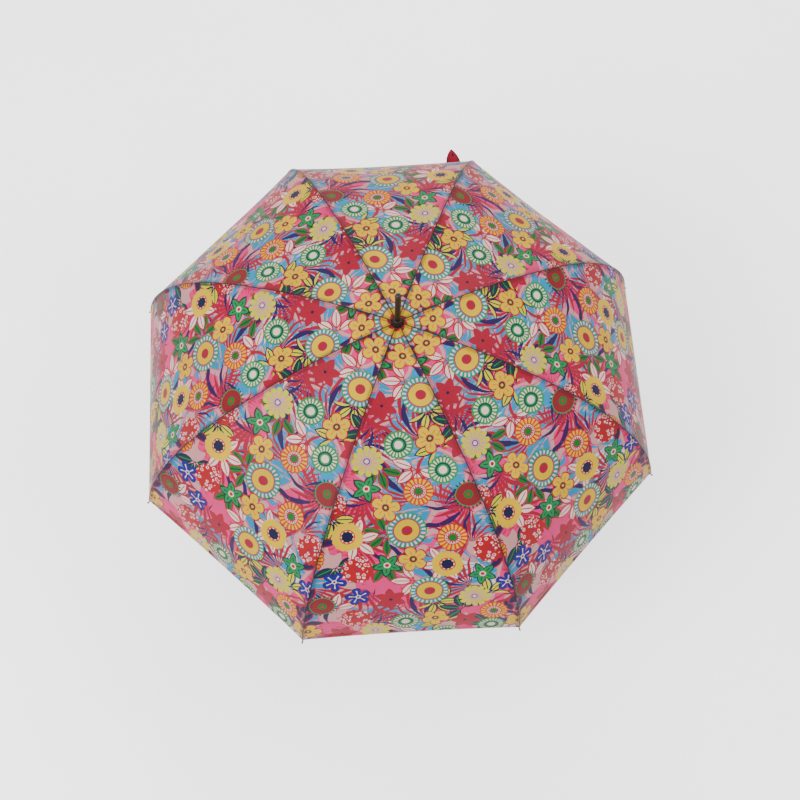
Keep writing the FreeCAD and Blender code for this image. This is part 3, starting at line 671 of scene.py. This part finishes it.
def thicken(name, mesh, thickness, materials):
    """Turns a sheet into a thin closed solid, with the second material on its underside."""
    source = bpy.data.objects.new(name + "_flat", mesh)
    bpy.context.scene.collection.objects.link(source)
    for material in materials:
        mesh.materials.append(material)
    solid = source.modifiers.new("solid", "SOLIDIFY")
    solid.thickness = thickness
    solid.offset = 0.0
    solid.use_rim = True
    solid.material_offset = 1
    graph = bpy.context.evaluated_depsgraph_get()
    made = bpy.data.meshes.new_from_object(source.evaluated_get(graph))
    made.name = name
    bpy.data.objects.remove(source)
    made.polygons.foreach_set("use_smooth", [True] * len(made.polygons))
    made.set_sharp_from_angle(angle=math.radians(50))
    piece = bpy.data.objects.new(name, made)
    bpy.context.scene.collection.objects.link(piece)
    return piece


def seam_distances(width):
    """Distances from the rib of the columns of a half gore that is width wide there."""
    near = np.minimum(np.array([0.0, 0.0015, 0.0035, 0.0060]), width * np.array([0, 0.1, 0.2, 0.3]))
    rest = near[-1] + (width - near[-1]) * np.linspace(0, 1, COLUMNS)[1:]
    return np.concatenate([near, rest])


def ring_rows(outer):
    """Arc lengths and lifts of the rows of the inner or the outer ring."""
    if not outer:
        arcs = np.concatenate([[0, LEAD_LENGTH / 2], np.linspace(LEAD_LENGTH, KNUCKLE_ARC, ROWS)])
        return arcs, np.zeros(len(arcs))
    under = np.linspace(KNUCKLE_ARC - UNDERLAP, KNUCKLE_ARC - UNDERLAP_END, UNDERLAP_ROWS)
    main = np.linspace(KNUCKLE_ARC, HEM_ARC - HEM_WIDTH, ROWS)
    hem = HEM_ARC - HEM_WIDTH + np.array([HEM_STEP, HEM_WIDTH / 2, HEM_WIDTH])
    lifts = [UNDERLAP_LIFT] * len(under) + [0.0] * len(main) + [HEM_LIFT] * len(hem)
    return np.concatenate([under, main, hem]), np.array(lifts)


def half_gore_grid(gore, second, outer):
    """Points and texture maps of half a gore's ring, from its rib to the middle line."""
    arcs, lifts = ring_rows(outer)
    points, print_uv, seam_uv = [], [], []
    for arc, lift in zip(arcs, lifts):
        reach = float(profile(arc, CLOTH_OFFSET)[0])
        width = reach * math.sin(HALF_PITCH)
        distance = seam_distances(width)
        share = (1 - distance / width) * (1 if second else -1)
        points.append(cloth_point(gore, arc, share, lift))
        print_uv.append(np.stack([share * width + TILE / 2, np.full(len(share), HEM_ARC - arc)], axis=-1))
        seam_uv.append(np.stack([distance, np.full(len(share), arc)], axis=-1))
    return np.array(points), np.array(print_uv), np.array(seam_uv)


def squash_to_rib(piece, side, outer):
    """Works out the direction in which a piece would pleat against its rib and gives the piece its own mesh;
    no point is moved.

    Side is 1 for a piece that lies on from its rib, in the order of the numbers, and -1 for one before it.
    """
    low, high = (KNUCKLE_ARC, HEM_ARC) if outer else (LEAD_LENGTH, KNUCKLE_ARC)
    ends = [np.array([float(value) for value in profile(arc, CLOTH_OFFSET)[:2]]) for arc in (low, high)]
    chord = (ends[1] - ends[0]) / np.linalg.norm(ends[1] - ends[0])
    along = np.array([chord[0], 0.0, chord[1]])
    towards = np.array([-math.sin(HALF_PITCH), side * math.cos(HALF_PITCH), 0.0])
    normal = towards - (towards @ along) * along
    normal = normal / np.linalg.norm(normal)
    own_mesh(piece)


def half_gore(gore, second, outer, materials):
    """One piece of the canopy: half a gore wide, inside or outside the knuckle."""
    rib = gore % RIB_COUNT + 1 if second else gore
    ring = "outer" if outer else "inner"
    name = "canopy_%s_%d_%s" % (ring, gore, "b" if second else "a")
    points, print_uv, seam_uv = half_gore_grid(gore, second, outer)
    mesh = grid_mesh(name, points, print_uv, seam_uv, flip=second)
    piece = thicken(name, mesh, CLOTH_THICKNESS, materials)
    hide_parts("canopy_panel_%d" % gore)
    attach(piece, "rib_%s_%d" % (ring, rib))
    squash_to_rib(piece, -1 if second else 1, outer)


def seam_strip(rib, outer, materials):
    """The felled seam over a rib: a narrow raised band with a rounded top."""
    ring = "outer" if outer else "inner"
    before = (rib - 2) % RIB_COUNT + 1
    low, high = (KNUCKLE_ARC, HEM_ARC) if outer else (LEAD_LENGTH, KNUCKLE_ARC)
    arcs = np.linspace(low, high, SEAM_ROWS)
    across = np.array([-1.0, -0.75, -0.4, -0.02, 0.02, 0.4, 0.75, 1.0]) * SEAM_HALF_WIDTH
    points, print_uv, seam_uv = [], [], []
    for arc in arcs:
        width = float(profile(arc, CLOTH_OFFSET)[0]) * math.sin(HALF_PITCH)
        narrow = min(1.0, 0.45 * width / SEAM_HALF_WIDTH)
        row, prints, seams = [], [], []
        for step in across * narrow:
            gore, sign = (before, 1) if step < 0 else (rib, -1)
            share = sign * (1 - abs(step) / width)
            lift = SEAM_LIFT + SEAM_CROWN * (1 - (step / SEAM_HALF_WIDTH) ** 2)
            row.append(cloth_point(gore, arc, np.array(share), lift))
            prints.append((share * width + TILE / 2, HEM_ARC - arc))
            seams.append((abs(step), arc))
        points.append(row)
        print_uv.append(prints)
        seam_uv.append(seams)
    name = "seam_%s_%d" % (ring, rib)
    mesh = grid_mesh(name, np.array(points), np.array(print_uv), np.array(seam_uv), flip=False)
    piece = thicken(name, mesh, CLOTH_THICKNESS, materials)
    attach(piece, "rib_%s_%d" % (ring, rib))


def tie_strap(materials):
    """The closing strap beside a rib's end, folded back on itself to a point beyond the hem."""
    low, high = (Vector(corner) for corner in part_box("tie_strap"))
    tilt = math.radians(35)
    width = high.x - low.x
    length = (high.y - low.y) / math.cos(tilt)
    rows, columns = 33, 15
    thickness = 0.0006
    taper, taper_power, lean = 0.9, 3.5, 0.006
    reach_share, fullness, seam_start = 0.96, 0.6, 0.2
    half_gap, crumple, curl_height, height = 0.0013, 0.0008, 0.0007, 0.0016
    print_x, print_y = 0.136, 0.07  # the part of the repeat that the strap is cut from
    tilted = Euler((tilt, 0, 0)).to_matrix()
    root = Vector(((low.x + high.x) / 2, low.y, low.z + height))
    points, print_uv, seam_uv = [], [], []
    for row in range(rows):
        turn = row / (rows - 1)
        out = 1 - abs(2 * turn - 1)
        half = width / 2 * (1 - taper * out ** taper_power)
        layer = half_gap * math.cos(math.pi * turn) + crumple * math.sin(9 * turn)
        line, prints, seams = [], [], []
        for column in range(columns):
            side = 2 * column / (columns - 1) - 1
            curl = curl_height * math.cos(2.6 * side + 4 * turn)
            place = Vector((side * half - lean * out, out * length * reach_share, layer + curl))
            line.append(tilted @ place + root)
            prints.append((print_x + side * width / 2, print_y + turn * 2 * length))
            seams.append((width / 2 * (1 - abs(side)) + 0.002, seam_start + turn * 2 * length))
        points.append(line)
        print_uv.append(prints)
        seam_uv.append(seams)
    mesh = grid_mesh("tie_strap_cloth", np.array(points), np.array(print_uv), np.array(seam_uv), flip=False)
    piece = thicken("tie_strap_cloth", mesh, thickness, materials)
    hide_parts("tie_strap")
    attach(piece, "rib_outer_2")


# ------------------------------------------------------------------ studio
def studio(hem_level, tip_radius):
    """Pale floor, large soft lights and the camera."""
    floor_gap, far = 0.004, 14.0
    mesh = bpy.data.meshes.new("floor")
    mesh.from_pydata([(-far, -far, 0), (far, -far, 0), (far, far, 0), (-far, far, 0)], [], [(0, 1, 2, 3)])
    floor = bpy.data.objects.new("floor", mesh)
    floor.location = (0, 0, CAD_BOX[0].z - floor_gap)
    bpy.context.scene.collection.objects.link(floor)
    pale = bpy.data.materials.new("pale_floor")
    pale.use_nodes = True
    net = Net(pale.node_tree)
    grain = net.noise(net.put("ShaderNodeTexCoord").outputs["Object"], 3.0, 2.0)
    shader = pale.node_tree.nodes["Principled BSDF"]
    net.feed(shader.inputs["Base Color"], net.mix(grain, srgb(250, 250, 250), srgb(244, 244, 245)))
    shader.inputs["Roughness"].default_value = 0.9
    mesh.materials.append(pale)

    world = bpy.context.scene.world or bpy.data.worlds.new("studio")
    bpy.context.scene.world = world
    world.use_nodes = True
    world.node_tree.nodes["Background"].inputs["Color"].default_value = (1.0, 1.0, 1.0, 1.0)
    world.node_tree.nodes["Background"].inputs["Strength"].default_value = 2.1

    target = Vector((0, 0, hem_level + 0.1))
    # Lights: place from the hem's centre, watts, width of the square.
    for name, place, power, width in (
        ("key_light", (-1.9, -1.2, 2.4), 160, 1.5),
        ("fill_light", (2.2, -0.6, 2.4), 55, 1.8),
        ("back_light", (0.4, 2.4, 2.0), 60, 1.6),
    ):
        data = bpy.data.lights.new(name, "AREA")
        data.energy = power
        data.size = width
        light = bpy.data.objects.new(name, data)
        light.location = Vector(place) + Vector((0, 0, hem_level))
        light.rotation_euler = (target - light.location).to_track_quat("-Z", "Y").to_euler()
        bpy.context.scene.collection.objects.link(light)

    azimuth, elevation, roll = (math.radians(angle) for angle in (-5.2, 68.4, 1.8))
    distance = 4.91 * tip_radius
    level = Vector((math.sin(azimuth), -math.cos(azimuth), 0))
    away = level * math.cos(elevation) + Vector((0, 0, math.sin(elevation)))
    data = bpy.data.cameras.new("camera")
    data.lens = 58.0
    data.sensor_width = 36.0
    data.shift_x = 0.006
    data.shift_y = -0.0126
    camera = bpy.data.objects.new("camera", data)
    aim = Vector((0, 0, hem_level))
    camera.location = aim + away * distance
    upright = (aim - camera.location).to_track_quat("-Z", "Y").to_matrix()
    camera.rotation_euler = (upright @ Matrix.Rotation(roll, 3, "Z")).to_euler()
    bpy.context.scene.collection.objects.link(camera)
    bpy.context.scene.camera = camera


# ------------------------------------------------------------------ make it
clean()
hem_reach, hem_height, _ = profile(HEM_ARC, 0.0)
studio(CROWN_HEIGHT + float(hem_height), float(hem_reach))
paint_frame()
pattern = print_group()
outside = cloth_material("printed_cloth", pattern, False)
underside = cloth_material("printed_cloth_inside", pattern, True)
for number in range(1, RIB_COUNT + 1):
    for outer in (False, True):
        for second in (False, True):
            half_gore(number, second, outer, (outside, underside))
        seam_strip(number, outer, (outside, underside))
tie_strap((outside, outside))
